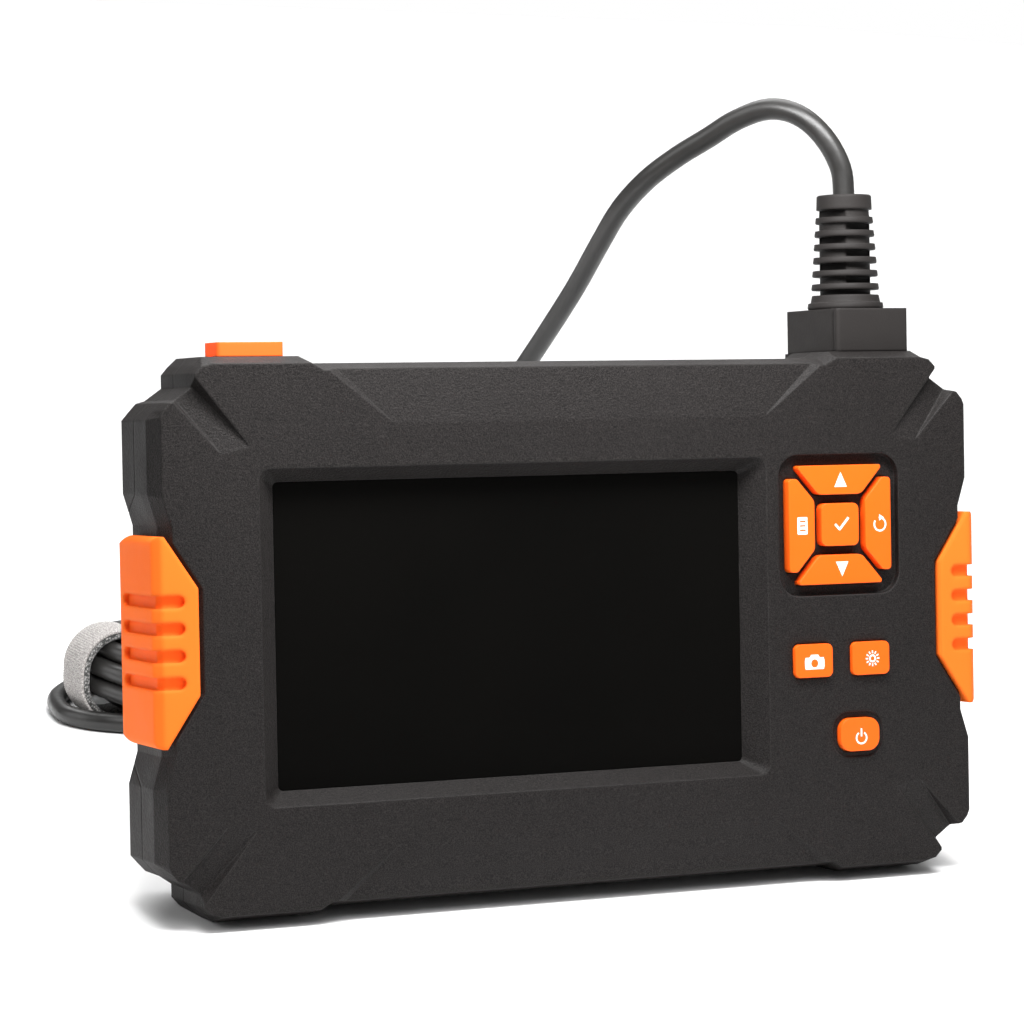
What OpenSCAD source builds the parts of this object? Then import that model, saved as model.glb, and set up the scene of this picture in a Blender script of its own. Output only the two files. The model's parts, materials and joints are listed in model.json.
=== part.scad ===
// Handheld inspection camera with a plug-in probe on a coiled semi-rigid cable.
// The casing is drawn in its own frame: x to the right, y from the front plane to the back,
// z up from the middle of its height. leaned() then stands it on its base, leaning back.

/* [Casing] */
// Width of the casing across its side walls
body_w = 176; // [174:1:178]
// Height of the casing
body_h = 106; // [105:1:108]
// Depth of the casing, front plane to rear plane
body_d = 31; // [30:0.5:32]
// Wall thickness of the shells
wall = 2.4; // [2.2:0.1:2.6]
// Depth from the front plane to the parting line
parting = 11.8; // [11.6:0.1:12]
// Visible gap along the parting line
parting_gap = 0.25; // [0.2:0.05:0.3]
// Angle that the standing casing leans back
lean = 9; // [8:0.5:10]

/* [Display window] */
// Width of the visible glass
glass_w = 99.2; // [98:0.2:100]
// Height of the visible glass
glass_h = 58.3; // [57:0.1:59]
// Distance of the window's centre from the casing's centre, to the left
glass_shift = 13.7; // [13.4:0.1:14]
// Depth of the glass below the front plane
glass_depth = 4.3; // [4.1:0.1:4.4]
// Width of the sloping border around the glass
slope_w = 4.3; // [4:0.1:4.4]
// Height of the sloping border above and below the glass
slope_h = 2.7; // [2.5:0.1:2.8]

/* [Keys] */
// Distance of the key pad's centre from the casing's centre, to the right
pad_x = 56.8; // [56.6:0.1:57]
// Height of the key pad's centre above the casing's centre
pad_z = 17.9; // [17.7:0.1:18.1]
// Width of the well around the pad keys
well_w = 27.8; // [27.6:0.1:28]
// Height of the well
well_h = 28.6; // [28.4:0.1:28.8]
// Depth of the well
well_depth = 1.6; // [1.4:0.1:1.7]
// How far the pad keys stand above the front plane
pad_proud = 0.4; // [0.3:0.1:0.6]
// How far the single keys stand above the front plane
key_proud = 0.9; // [0.8:0.1:1.1]
// Travel of every key
key_travel = 0.6; // [0.5:0.1:0.6]

/* [Grips] */
// Height of a side grip
grip_h = 39.4; // [38.8:0.1:40]
// How far a grip stands proud of the side wall
grip_proud = 0.8; // [0.6:0.1:1]
// Number of finger grooves in a grip
groove_count = 4; // [2:1:5]

/* [Probe] */
// Width of the plug block, side to side
plug_w = 16.8; // [16.6:0.1:17]
// Depth of the plug block, front to back
plug_d = 21.3; // [21:0.1:21.5]
// Height of the plug block above the casing
plug_h = 8.8; // [8.6:0.1:9]
// Diameter of the cable
cable_d = 4.5; // [4.4:0.1:4.6]
// Diameter of the camera head
head_d = 8; // [7.9:0.1:8]
// Mean radius of the coil
coil_r = 27; // [26.9:0.1:27.1]

/* [Hidden] */

$fn = 48;
eps = 0.01;
half_w = body_w / 2;
half_h = body_h / 2;
// Running clearance between the key and its hole, and between other moving fits
clear = 0.15;
// The origin lies on the base face, this far behind the bottom edge of the parting line
base_mid = 12;

// ---- frames ----
module leaned() {
    translate([0, -base_mid, 0])
        rotate([-lean, 0, 0])
            translate([0, -parting, half_h])
                children();
}

// A point of the casing's frame in the standing frame
function lean_point(p) =
    let (y = p[1] - parting, z = p[2] + half_h)
    [p[0], y * cos(lean) + z * sin(lean) - base_mid, z * cos(lean) - y * sin(lean)];

// Extrudes an outline of the x-z plane from depth y0 to depth y1
module from_front(y0, y1) {
    translate([0, y1, 0])
        rotate([90, 0, 0])
            linear_extrude(y1 - y0)
                children();
}

module rounded(w, h, r) {
    offset(r)
        square([w - 2 * r, h - 2 * r], center = true);
}

function flat(p) = [p[0], p[1]];

// The point at share t of the way round the arc of a corner [x, y, radius], which lies between
// the corners before and after
function on_arc(corner, before, after, t) =
    let (
        p = flat(corner), r = corner[2],
        u = unit(flat(before) - p), v = unit(flat(after) - p),
        half = acos(u * v) / 2,
        mid = p + unit(u + v) * r / sin(half),
        from = p + u * r / tan(half) - mid, to = p + v * r / tan(half) - mid,
        swing = 180 - 2 * half
    )
    mid + (sin((1 - t) * swing) * from + sin(t * swing) * to) / sin(swing);

// An outline whose corners, each [x, y, radius], are rounded by arcs
function round_corners(list) =
    let (n = len(list), steps = 6)
    [for (i = [0:n - 1], k = [0:steps])
        on_arc(list[i], list[(i + n - 1) % n], list[(i + 1) % n], k / steps)];

// Mirrors its children to the other side when side is -1
module to_side(side) {
    mirror([side < 0 ? 1 : 0, 0, 0])
        children();
}

module to_half(side) {
    mirror([0, 0, side < 0 ? 1 : 0])
        children();
}

module box(low, high) {
    translate(low)
        cube(high - low);
}

// ---- casing outline ----
// Half-height of the side's recessed stretch that holds the grip
grip_seat_h = 21.5;
grip_step = 1.8;
grip_lead = 6;
// The recessed middle of the top and bottom edges
band_half = 55;
band_step = 1.4;
band_lead = 2.5;
// One corner, from the side's step to the recessed middle of the top edge
corner = [
    [half_w - grip_step, grip_seat_h],
    [half_w, grip_seat_h + grip_lead],
    [half_w, half_h - 11.7],
    [half_w - 1.4, half_h - 10.1],
    [half_w - 2.9, half_h - 8.5],
    [half_w - 4.6, half_h - 8.05],
    [half_w - 8, half_h - 5.7],
    [half_w - 8, half_h - 3.2],
    [half_w - 9.3, half_h - 1.7],
    [half_w - 11.2, half_h],
    [band_half + band_lead, half_h],
    [band_half, half_h - band_step]
];
// The same corner on the front plane, where the edges slope inwards but the corner hardly does
bevel_in = 1.4;
front_corner = [
    [half_w - grip_step - bevel_in, grip_seat_h - 0.5],
    [half_w - bevel_in, grip_seat_h + grip_lead - 0.7],
    [half_w - bevel_in, half_h - 11.2],
    [half_w - 1.9, half_h - 10],
    [half_w - 3.1, half_h - 8.6],
    [half_w - 4.7, half_h - 8.2],
    [half_w - 8.2, half_h - 5.8],
    [half_w - 8.2, half_h - 3.3],
    [half_w - 9.6, half_h - 1.9],
    [half_w - 11.6, half_h - bevel_in],
    [band_half + band_lead - 0.9, half_h - bevel_in],
    [band_half - 0.9, half_h - band_step - bevel_in]
];
function reversed(list) = [for (i = [len(list) - 1:-1:0]) list[i]];
function flip_x(list) = reversed([for (p = list) [-p[0], p[1]]]);
function flip_z(list) = reversed([for (p = list) [p[0], -p[1]]]);
function all_round(list) = concat(list, flip_x(list), flip_z(flip_x(list)), flip_z(list));
outline = all_round(corner);

// The outline drawn in from its sides, its top and its bottom
function drawn_in(side, top, bottom) = [
    for (p = outline)
        [p[0] * (1 - side / half_w), p[1] * (1 - (p[1] > 0 ? top : bottom) / half_h)]
];

// The mean of some points
function middle(list, i = 1, sum = undef) =
    i == len(list) ? (is_undef(sum) ? list[0] : sum) / len(list)
        : middle(list, i + 1, (is_undef(sum) ? list[0] : sum) + list[i]);

// A closed solid through rings of points. Each end is capped with triangles about its middle.
module skin(rings) {
    n = len(rings[0]);
    last = len(rings) - 1;
    points = concat([for (ring = rings, p = ring) p], [middle(rings[0]), middle(rings[last])]);
    walls = [
        for (k = [0:last - 1], i = [0:n - 1])
            let (a = k * n + i, b = k * n + (i + 1) % n, c = a + n, d = b + n)
            each [[a, b, c], [b, d, c]]
    ];
    front_mid = n * (last + 1);
    front = [for (i = [0:n - 1]) [front_mid, (i + 1) % n, i]];
    back = [for (i = [0:n - 1]) [front_mid + 1, last * n + i, last * n + (i + 1) % n]];
    polyhedron(points, concat(front, walls, back));
}

// The same through outlines of equal length, each [depth, outline]
module loft(levels) {
    skin([for (level = levels) [for (p = level[1]) [p[0], level[0], p[1]]]]);
}

bevel_depth = 4.8;
taper_start = 19.4;
taper_end = 28.5;

module casing_solid() {
    loft([
        [0, all_round(front_corner)],
        [bevel_depth, drawn_in(0, 0, 0)],
        [taper_start, drawn_in(0, 0, 0)],
        [taper_end, drawn_in(5, 5, 0.8)],
        [body_d, drawn_in(8, 8, 2)]
    ]);
}

// The hollow inside both shells
module casing_hollow() {
    inset = wall + 0.8;
    difference() {
        loft([
            [wall, drawn_in(inset, inset, inset)],
            [taper_start, drawn_in(inset, inset, inset)],
            [taper_end - 1, drawn_in(inset + 4.6, inset + 4.6, inset + 1.4)],
            [body_d - wall, drawn_in(inset + 6, inset + 6, inset + 2.6)]
        ]);
        for (side = [-1, 1]) {
            to_side(side)
                box([82.6, 0, -24], [90, body_d, 24]);
            to_side(side)
                box([77, 0, -23], [90, 4.4, 23]);
        }
    }
}

// The side stretches where the front shell reaches back behind the grips
module side_tabs(grow) {
    for (side = [-1, 1]) {
        to_side(side)
            translate([82, 0, 0])
                rotate([90, 0, 90])
                    linear_extrude(10)
                        offset(delta = grow)
                            polygon([
                                [parting - 1, -27.5], [parting, -27.5], [22, -22.5],
                                [22, 22.5], [parting, 27.5], [parting - 1, 27.5]
                            ]);
    }
}

// ---- grips ----
grip_outer = half_w + grip_proud;
grip_inner = 79.9;
grip_front = -0.5;
grip_back = 20.6;
// Half-height of the front leaf's inner edge, where its slanting edges start
grip_waist = 9.6;
// How far a slanting edge runs outwards for each millimetre up
grip_slant = 0.67;

// The front leaf's outline, its slanting edges drawn up to a half-height
module grip_outline(grow, reach) {
    top_x = grip_inner + grip_slant * (reach - grip_waist);
    offset(delta = grow)
        polygon([
            [grip_inner, -grip_waist], [grip_inner, grip_waist], [top_x, reach], [top_x + 6, reach],
            [top_x + 6, -reach], [top_x, -reach]
        ]);
}

// Section of the space that a grip fills, out to its rounded outer corner
module grip_space() {
    round_r = 1.1;
    corner_cut = 1.5;
    offset(round_r)
        offset(delta = -round_r)
            polygon([
                [70, grip_front], [grip_outer - corner_cut, grip_front],
                [grip_outer, grip_front + corner_cut], [grip_outer, grip_back], [70, grip_back]
            ]);
}

// L-shaped section of a grip in the x-y plane: a front leaf and a side leaf
module grip_section(grow) {
    offset(delta = grow)
        intersection() {
            grip_space();
            polygon([
                [grip_inner, 2], [grip_inner, 0.2], [grip_inner + 0.7, grip_front - 1], [95, grip_front - 1],
                [95, 25], [85.9, 25], [85.9, 3.6], [84.3, 2]
            ]);
        }
}

// A grip's outline from the side, with its back corners cut away
module grip_flank(grow) {
    top = grip_h / 2;
    offset(delta = grow)
        offset(1)
            offset(delta = -1)
                polygon([
                    [-20, -top], [16.2, -top], [grip_back, 2 - top],
                    [grip_back, top - 2], [16.2, top], [-20, top]
                ]);
}

// A section of the x-y plane, kept between a grip's slanting edges and its cut back corners
module grip_cut(grow) {
    intersection() {
        translate([0, 0, -grip_h])
            linear_extrude(2 * grip_h)
                children();
        from_front(-5, 25)
            grip_outline(grow, grip_h / 2 + 3);
        from_front(-5, 25)
            rounded(2 * grip_outer + 2 * grow, grip_h + 2 * grow, 1.5);
        translate([70, 0, 0])
            rotate([90, 0, 90])
                linear_extrude(30)
                    grip_flank(grow);
    }
}

// One finger groove, from the front leaf round to the side leaf
module groove() {
    groove_h = 2.4;
    groove_depth = 1;
    groove_in = 82.8;
    groove_back = 18;
    round_x = groove_in + groove_h / 2;
    round_y = groove_back - groove_h / 2;
    translate([0, 0, -groove_h / 2])
        linear_extrude(groove_h)
            difference() {
                translate([round_x, -3])
                    square([95 - round_x, round_y + 3]);
                offset(delta = -groove_depth)
                    grip_space();
            }
    translate([round_x, grip_front + groove_depth, 0])
        rotate([90, 0, 0])
            cylinder(d = groove_h, h = 3);
    translate([grip_outer - groove_depth, round_y, 0])
        rotate([0, 90, 0])
            cylinder(d = groove_h, h = 3);
}

module grip(side) {
    groove_pitch = 5.05;
    color([1, 0.53, 0.16])
        to_side(side)
            difference() {
                grip_cut(0)
                    grip_section(0);
                for (i = [0:groove_count - 1]) {
                    translate([0, 0, (i - (groove_count - 1) / 2) * groove_pitch])
                        groove();
                }
            }
}

module left_grip() {
    grip(-1);
}

module right_grip() {
    grip(1);
}

// The seat that a grip is pressed into, with a sloping border on the front face
module grip_seats() {
    seat_fit = 0.1;
    for (side = [-1, 1]) {
        to_side(side) {
            grip_cut(seat_fit)
                union() {
                    grip_section(seat_fit);
                    polygon([
                        [grip_inner - seat_fit, 0.5], [grip_inner - seat_fit, -2], [95, -2],
                        [95, 21], [88, 21], [85.8, 10]
                    ]);
                }
            hull() {
                from_front(-1, 0)
                    grip_outline(0.9, grip_h / 2);
                from_front(0.8, 1)
                    grip_outline(0.2, grip_h / 2);
            }
        }
    }
}

// ---- keys ----
// Outlines of the pad keys around the pad's centre. Each corner is [x, z, its radius].
up_shape = [
    [-9.5, 12, 0.4], [-9.5, 11.3, 0.4], [-4.9, 6.1, 2.2],
    [4.9, 6.1, 2.2], [9.5, 11.3, 0.4], [9.5, 12, 0.4]
];
menu_shape = [
    [-11.8, 9.4, 0.8], [-11.8, -9.4, 0.8], [-9.9, -9.4, 1],
    [-5.9, -4.9, 2], [-5.9, 4.9, 2], [-9.9, 9.4, 1]
];
ok_size = 8.6;
photo_pos = [50, -9.4];
light_pos = [63.2, -9.4];
power_pos = [60.4, -24.8];
key_size = [8.6, 6.7];
power_size = [9, 6.7];
well_wall = 2;
// Depth at which each key's stem meets its switch plunger
stem_end = 7;
board_y = 12.6;

module up_outline() {
    polygon(round_corners(up_shape));
}

module menu_outline() {
    polygon(round_corners(menu_shape));
}

module pad_holes() {
    for (turn = [0, 180]) {
        rotate(turn)
            offset(clear)
                up_outline();
        rotate(turn)
            offset(clear)
                menu_outline();
    }
    rounded(ok_size + 2 * clear, ok_size + 2 * clear, 1.4);
}

module single_key_holes() {
    for (pos = [photo_pos, light_pos]) {
        translate(pos)
            rounded(key_size[0] + 2 * clear, key_size[1] + 2 * clear, 1.3);
    }
    translate(power_pos)
        rounded(power_size[0] + 2 * clear, power_size[1] + 2 * clear, 2.6);
}

// A key: a cap through the shell, a retaining flange behind it and a stem to the switch
module key_solid(top, flange_y, stem_pos) {
    color([1, 0.53, 0.16]) {
        from_front(top, flange_y + 0.8)
            children(0);
        from_front(flange_y, flange_y + 0.8)
            children(1);
        translate([stem_pos[0], stem_end, stem_pos[1]])
            rotate([90, 0, 0])
                cylinder(r = 1.6, h = stem_end - flange_y);
    }
}

pad_flange_y = well_depth + well_wall + 0.2;
single_flange_y = wall + 0.2;
up_stem = [0, 9.1];
menu_stem = [-8.8, 0];
function on_pad(p) = [pad_x + p[0], pad_z + p[1]];

// Up or down key, by the sign of its side
module vertical_key(side) {
    key_solid(-pad_proud, pad_flange_y, on_pad(side * up_stem)) {
        translate(on_pad([0, 0]))
            mirror([0, side < 0 ? 1 : 0])
                up_outline();
        translate(on_pad([0, side * 11.6]))
            square([16, 2.4], center = true);
    }
}

// Left or right key of the pad
module horizontal_key(side) {
    key_solid(-pad_proud, pad_flange_y, on_pad(side * menu_stem)) {
        translate(on_pad([0, 0]))
            mirror([side < 0 ? 1 : 0, 0])
                menu_outline();
        translate(on_pad([-side * 11.4, 0]))
            square([2.4, 15], center = true);
    }
}

module key_up() {
    vertical_key(1);
}

module key_down() {
    vertical_key(-1);
}

module key_menu() {
    horizontal_key(1);
}

module key_rotate() {
    horizontal_key(-1);
}

module key_ok() {
    key_solid(-pad_proud, pad_flange_y, on_pad([0, 0])) {
        translate(on_pad([0, 0]))
            rounded(ok_size, ok_size, 1.3);
        translate(on_pad([0, 0]))
            square([ok_size - 1.6, ok_size + 1.2], center = true);
    }
}

module single_key(pos, size, r) {
    key_solid(-key_proud, single_flange_y, pos) {
        translate(pos)
            rounded(size[0], size[1], r);
        translate(pos)
            square([size[0] + 1.6, size[1] - 1.6], center = true);
    }
}

module key_photo() {
    single_key(photo_pos, key_size, 1.2);
}

module key_light() {
    single_key(light_pos, key_size, 1.2);
}

module key_power() {
    single_key(power_pos, power_size, 2.5);
}

// ---- switches ----
switch_places = [
    on_pad(up_stem), on_pad(-up_stem), on_pad(menu_stem), on_pad(-menu_stem), on_pad([0, 0]),
    photo_pos, light_pos, power_pos
];
switch_top = 9.2;
// Depth to which a released plunger reaches into its switch
plunger_in = 1.4;
plunger_r = 1.7;
plunger_fit = 0.08;

module plunger(index) {
    place = switch_places[index];
    color([0.15, 0.15, 0.16])
        translate([place[0], switch_top + plunger_in, place[1]])
            rotate([90, 0, 0])
                cylinder(r = plunger_r, h = switch_top + plunger_in - stem_end);
}

module plunger_up() {
    plunger(0);
}

module plunger_down() {
    plunger(1);
}

module plunger_menu() {
    plunger(2);
}

module plunger_rotate() {
    plunger(3);
}

module plunger_ok() {
    plunger(4);
}

module plunger_photo() {
    plunger(5);
}

module plunger_light() {
    plunger(6);
}

module plunger_power() {
    plunger(7);
}

module switch_bodies() {
    color([0.62, 0.62, 0.6])
        for (place = switch_places) {
            difference() {
                box([place[0] - 3, switch_top, place[1] - 3], [place[0] + 3, board_y, place[1] + 3]);
                translate([place[0], switch_top + plunger_in + key_travel + 0.4, place[1]])
                    rotate([90, 0, 0])
                        cylinder(r = plunger_r + plunger_fit, h = 4);
            }
        }
}

// ---- front shell ----
glass_centre = [-glass_shift, 0];
glass_t = 1.1;
gasket_t = 0.3;
ledge_y = glass_depth + glass_t + gasket_t;
lcd_y = ledge_y + 1.5;
boss_places = [[-76.5, -38], [-76.5, 38], [76.5, -38], [76.5, 38]];
board_holes = [[-66, -38], [-66, 38], [68, -38], [50, 38]];
screw_r = 1.25;

// A flat wedge that dips the front face towards the middle of the top or bottom edge
module band_wedge() {
    dip = 1.5;
    low = half_h - 13;
    reach = half_h + 1;
    mouth = [[-40, low], [40, low], [58, reach], [-58, reach]];
    floor = [[-55, reach - 0.5], [55, reach - 0.5], [55, reach], [-55, reach]];
    loft([[-1, mouth], [0, mouth], [dip, floor]]);
}

// A channel that deepens from a shallow inner end out to the corner's notch, between sloping walls
module corner_channel() {
    deep = 3;
    mouth = [[69.2, 36], [75.3, 34.7], [87, 47.6], [82, 51.9]];
    floor = [[69.5, 0.05, 36], [75, 0.05, 34.9], [86, deep, 48.5], [83.1, deep, 51]];
    skin([[for (p = mouth) [p[0], -1, p[1]]], [for (p = mouth) [p[0], 0, p[1]]], floor]);
}

module window_recess() {
    translate([-glass_shift, 0, 0]) {
        hull() {
            from_front(-1, 0)
                rounded(glass_w + 2 * slope_w, glass_h + 2 * slope_h, 2.2);
            from_front(glass_depth - 0.2, glass_depth)
                rounded(glass_w + 0.3, glass_h + 0.3, 1);
        }
        from_front(0, glass_depth + glass_t + gasket_t)
            rounded(glass_w + 0.2, glass_h + 0.2, 1);
        from_front(0, lcd_y + 1)
            square([96, 54.8], center = true);
    }
}

module front_shell() {
    color([0.19, 0.18, 0.18])
        difference() {
            union() {
                difference() {
                    intersection() {
                        casing_solid();
                        union() {
                            box([-100, -5, -70], [100, parting, 70]);
                            side_tabs(0);
                        }
                    }
                    casing_hollow();
                    // Groove that takes the rear shell's tongue
                    intersection() {
                        loft([
                            [parting - 1.6, drawn_in(1.2, 1.2, 1.2)],
                            [parting + 1, drawn_in(1.2, 1.2, 1.2)]
                        ]);
                        tongue_zone();
                    }
                }
                from_front(wall - 0.1, lcd_y)
                    translate(glass_centre)
                        square([114, 72.4], center = true);
                from_front(wall - 0.1, well_depth + well_wall)
                    translate([pad_x, pad_z])
                        square([30.5, 30.5], center = true);
                for (place = boss_places) {
                    translate([place[0], parting - 0.2, place[1]])
                        rotate([90, 0, 0])
                            cylinder(r = 3.1, h = parting - wall);
                }
                for (place = board_holes) {
                    translate([place[0], board_y, place[1]])
                        rotate([90, 0, 0])
                            cylinder(r = 2.4, h = board_y - wall);
                }
            }
            window_recess();
            for (side = [-1, 1]) {
                to_half(side)
                    band_wedge();
                for (flank = [-1, 1]) {
                    to_half(side)
                        to_side(flank)
                            corner_channel();
                }
            }
            from_front(-2, well_depth)
                translate([pad_x, pad_z])
                    rounded(well_w, well_h, 4.5);
            from_front(-2, 6)
                translate([pad_x, pad_z])
                    pad_holes();
            from_front(-2, 6)
                single_key_holes();
            from_front(-2, 0.4)
                translate(power_pos)
                    rounded(power_size[0] + 2.6, power_size[1] + 2.6, 3.7);
            grip_seats();
            for (place = boss_places) {
                translate([place[0], parting + 1, place[1]])
                    rotate([90, 0, 0])
                        cylinder(r = screw_r, h = 8);
            }
            for (place = board_holes) {
                translate([place[0], board_y + 1, place[1]])
                    rotate([90, 0, 0])
                        cylinder(r = 0.9, h = 7);
            }
            port_pocket();
        }
}

// Where the parting line keeps its tongue and groove: everywhere but behind the grips,
// the port and the plug
module tongue_zone() {
    difference() {
        box([-100, -5, -70], [100, 25, 70]);
        for (side = [-1, 1]) {
            to_side(side)
                box([78, -6, -31], [101, 26, 31]);
        }
        box([-78, -6, 40], [-58, 26, 71]);
        box([57, -6, 40], [79, 26, 71]);
    }
}

// ---- rear shell ----
tower = [[59.4, 11, 38], [76.6, 26, half_h]];
nose = [[62, 13.4], [74, 19.4]];

module rear_shell() {
    color([0.17, 0.16, 0.16])
        difference() {
            union() {
                difference() {
                    union() {
                        casing_solid();
                        box(tower[0], tower[1] - [0, 0, eps]);
                    }
                    casing_hollow();
                    box([60.3, 11, 37], [75.7, 24.4, half_h - 2.6]);
                }
                for (place = boss_places) {
                    translate([place[0], body_d - 1.2, place[1]])
                        rotate([90, 0, 0])
                            cylinder(r = 3.6, h = body_d - 1.2 - parting);
                }
                intersection() {
                    difference() {
                        loft([
                            [parting - 1.4, drawn_in(1.4, 1.4, 1.4)],
                            [parting + 1, drawn_in(1.4, 1.4, 1.4)]
                        ]);
                        loft([
                            [parting - 2, drawn_in(2.6, 2.6, 2.6)],
                            [parting + 2, drawn_in(2.6, 2.6, 2.6)]
                        ]);
                    }
                    tongue_zone();
                }
            }
            // Everything in front of the parting line but the tongue
            difference() {
                box([-100, -5, -70], [100, parting + parting_gap, 70]);
                intersection() {
                    loft([
                        [parting - 1.4, drawn_in(1.4, 1.4, 1.4)],
                        [parting + 1, drawn_in(1.4, 1.4, 1.4)]
                    ]);
                    tongue_zone();
                }
            }
            side_tabs(parting_gap);
            // The base face
            translate([0, parting, -half_h])
                rotate([lean, 0, 0])
                    box([-100, -20, -20], [100, 60, 0]);
            for (place = boss_places) {
                translate([place[0], body_d + 1, place[1]])
                    rotate([90, 0, 0])
                        cylinder(r = 2.6, h = 8);
                translate([place[0], body_d + 1, place[1]])
                    rotate([90, 0, 0])
                        cylinder(r = 1.6, h = 25);
            }
            // Opening for the plug's nose
            box([nose[0][0] - clear, nose[0][1] - clear, 40],
                [nose[1][0] + clear, nose[1][1] + clear, half_h + 1]);
            port_pocket();
        }
}

// ---- screws ----
module screw(length, shaft_r, head_r, head_h) {
    rotate([90, 0, 0]) {
        cylinder(r = shaft_r, h = length);
        difference() {
            translate([0, 0, -head_h])
                cylinder(r = head_r, h = head_h);
            for (turn = [0, 90]) {
                rotate(turn)
                    translate([0, 0, -head_h])
                        cube([head_r * 1.2, 0.6, head_h * 1.1], center = true);
            }
        }
    }
}

module case_screws() {
    color("silver")
        for (place = boss_places) {
            translate([place[0], body_d - 7, place[1]])
                screw(body_d - 7 - 5, screw_r - 0.02, 2.4, 1.8);
        }
}

module board_screws() {
    color("silver")
        for (place = board_holes) {
            translate([place[0], board_y + 1.6, place[1]])
                screw(6.5, 0.88, 1.7, 1.1);
        }
}

// ---- display ----
module display_window() {
    color([0.05, 0.05, 0.05])
        from_front(glass_depth, glass_depth + glass_t)
            translate(glass_centre)
                rounded(glass_w, glass_h, 0.9);
}

module window_gasket() {
    color([0.1, 0.1, 0.1])
        from_front(glass_depth + glass_t, ledge_y)
            translate(glass_centre)
                difference() {
                    square([98.6, 57.6], center = true);
                    square([96, 54.8], center = true);
                }
}

module lcd_panel() {
    color([0.12, 0.13, 0.15])
        from_front(lcd_y, lcd_y + 1.4)
            translate(glass_centre)
                square([105.5, 67.2], center = true);
}

module backlight() {
    color([0.85, 0.85, 0.82])
        from_front(lcd_y + 1.4, lcd_y + 2.9)
            translate(glass_centre)
                square([105.5, 67.2], center = true);
}

module display_ribbon() {
    color([0.8, 0.5, 0.15])
        box([-24, lcd_y + 2.9, -31], [-4, board_y, -30.7]);
}

// ---- boards ----
board_t = 1.6;
module main_board() {
    color([0.05, 0.3, 0.16])
        difference() {
            from_front(board_y, board_y + board_t)
                difference() {
                    translate([-73, -43])
                        square([146, 86]);
                    translate([56, 36.5])
                        square([30, 10]);
                    for (place = boss_places) {
                        translate(place)
                            circle(r = 4);
                    }
                }
            for (place = board_holes) {
                translate([place[0], board_y + 3, place[1]])
                    rotate([90, 0, 0])
                        cylinder(r = 1.1, h = 4);
            }
        }
}

module board_chips() {
    color([0.08, 0.08, 0.08]) {
        box([28, 14.2, -10], [42, 15.4, 4]);
        box([28, 14.2, 10], [38, 15.2, 20]);
        box([50, 14.2, -34], [57, 15.3, -28]);
        box([46, 14.2, 0], [54, 15.6, 8]);
    }
}

module battery_pack() {
    color([0.3, 0.32, 0.36])
        box([-52, 20, -28], [10, 27, 24]);
}

module battery_pad() {
    color([0.12, 0.12, 0.12])
        box([-48, 27, -24], [6, body_d - wall, 20]);
}

module battery_connector() {
    color([0.9, 0.88, 0.8])
        difference() {
            box([14, 14.2, -30], [24, 18.6, -24]);
            box([15.2, 15.4, -31], [22.8, 17.6, -25]);
        }
}

// ---- ports on the top edge ----
port_x = -65.9;
port_y = 11.6;
cover_w = 13.4;
cover_d = 7.6;
cover_h = 2.7;
cover_gap = 0.1;
cover_end = port_x - cover_w / 2;

module port_pocket() {
    box([port_x - 5.6, port_y - 2.2, half_h - 3], [port_x + 6.4, port_y + 2.2, half_h + 2]);
    box([port_x - 5.2, port_y - 1.9, half_h - 6], [port_x + 5.2, port_y + 1.3, half_h - 2]);
    box([cover_end - 2.2, port_y - 1.6, half_h - 1.4], [cover_end - 0.1, port_y + 1.6, half_h + 2]);
}

module port_cover() {
    top = half_h + cover_gap + cover_h;
    color([1, 0.53, 0.16]) {
        translate([port_x, port_y, half_h + cover_gap])
            linear_extrude(cover_h)
                rounded(cover_w, cover_d, 0.8);
        box([port_x - 4.9, port_y - 1.9, half_h - 2.4], [port_x + 5.8, port_y + 1.9, top - 1]);
    }
}

module cover_strap() {
    color([0.95, 0.48, 0.14])
        box([cover_end - 2.1, port_y - 1.5, half_h - 1.3], [cover_end - 0.2, port_y + 1.5, half_h - 0.05]);
}

module usb_port() {
    color("silver")
        difference() {
            box([port_x - 5, 9.4, 40.6], [port_x + 4, board_y, half_h - 6.4]);
            box([port_x - 4.6, 9.8, 42], [port_x + 3.6, board_y - 0.4, half_h]);
            box([port_x - 3.4, 8, 41.4], [port_x + 2.4, 9.9, 42.6]);
        }
}

module card_slot() {
    color("silver")
        difference() {
            box([-57, board_y - 1.9, 31], [-43, board_y, 43]);
            box([-56.2, board_y - 1.5, 33], [-43.8, board_y - 0.5, 44]);
        }
}

// ---- probe plug and socket ----
plug_x = 68;
plug_y = 15.2;
relief_y = 15.5;
socket_top = half_h - 2.8;
nose_len = 9.5;

module probe_socket() {
    color([0.12, 0.12, 0.13])
        difference() {
            box([60.4, 12.3, 42], [75.6, 21, socket_top]);
            box([nose[0][0] - clear, nose[0][1] - clear, half_h - nose_len - 0.4],
                [nose[1][0] + clear, nose[1][1] + clear, half_h]);
            for (i = [0:5]) {
                box([62.6 + 2 * i, 19, 43], [63.6 + 2 * i, 20.2, 49]);
            }
        }
}

module socket_contacts() {
    color("gold")
        for (i = [0:5]) {
            box([62.7 + 2 * i, 19.6, 43.2], [63.5 + 2 * i, 20, 48.6]);
        }
}

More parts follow.
